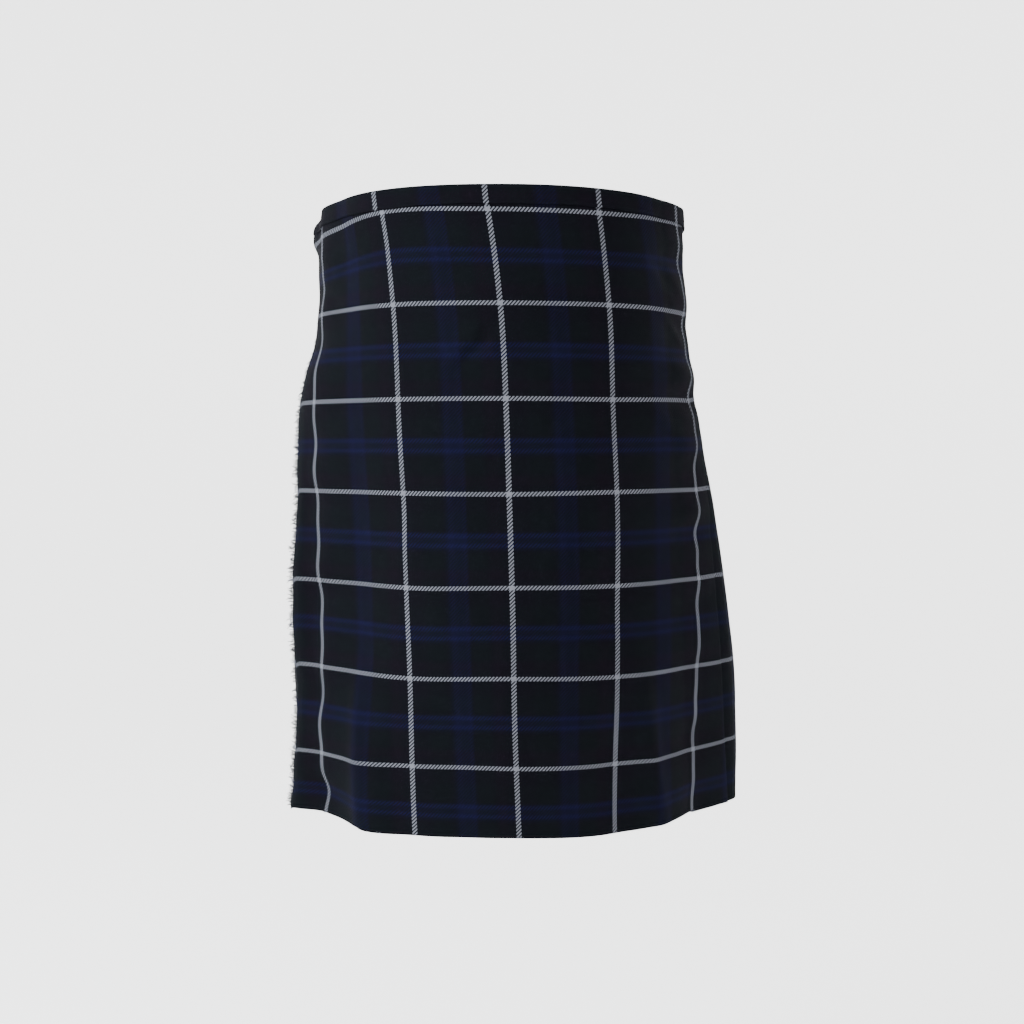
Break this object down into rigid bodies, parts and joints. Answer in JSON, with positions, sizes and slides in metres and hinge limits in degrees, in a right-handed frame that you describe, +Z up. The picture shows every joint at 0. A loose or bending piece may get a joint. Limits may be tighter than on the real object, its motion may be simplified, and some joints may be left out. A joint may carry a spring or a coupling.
{
  "type": "scottish kilt",
  "caption": "Wrapped tartan kilt in its worn, hollow shape: flat fringed over apron, under apron, knife pleats round the back, bound waist, leather straps and buckles.",
  "frame": {"origin": "middle of the wearer's waist at the top edge of the waistband", "axes": "+Z up the wearer's back, -Y out of the flat apron in front, +X to the wearer's left"},
  "size_m": [0.4705, 0.3434, 0.61],
  "materials": {
    "tartan_cloth": "matt twill-woven wool in a dark blue, green and black tartan with thin white lines",
    "fringe": "loose wool threads",
    "strap_leather": "satin black leather",
    "buckle_metal": "polished nickel plate"
  },
  "bodies": {
    "root": {"over_apron": "tartan_cloth", "under_apron": "tartan_cloth", "pleats_first": "tartan_cloth", "pleats_second": "tartan_cloth", "waistband_over": "tartan_cloth", "waistband_back": "tartan_cloth", "waistband_under": "tartan_cloth", "apron_fringe": "fringe", "strap_right": "strap_leather", "strap_left": "strap_leather", "buckle_tab_right": "strap_leather", "buckle_tab_left": "strap_leather", "keeper_right": "strap_leather", "keeper_left": "strap_leather", "buckle_right": "buckle_metal", "buckle_left": "buckle_metal"}
  },
  "joints": []
}
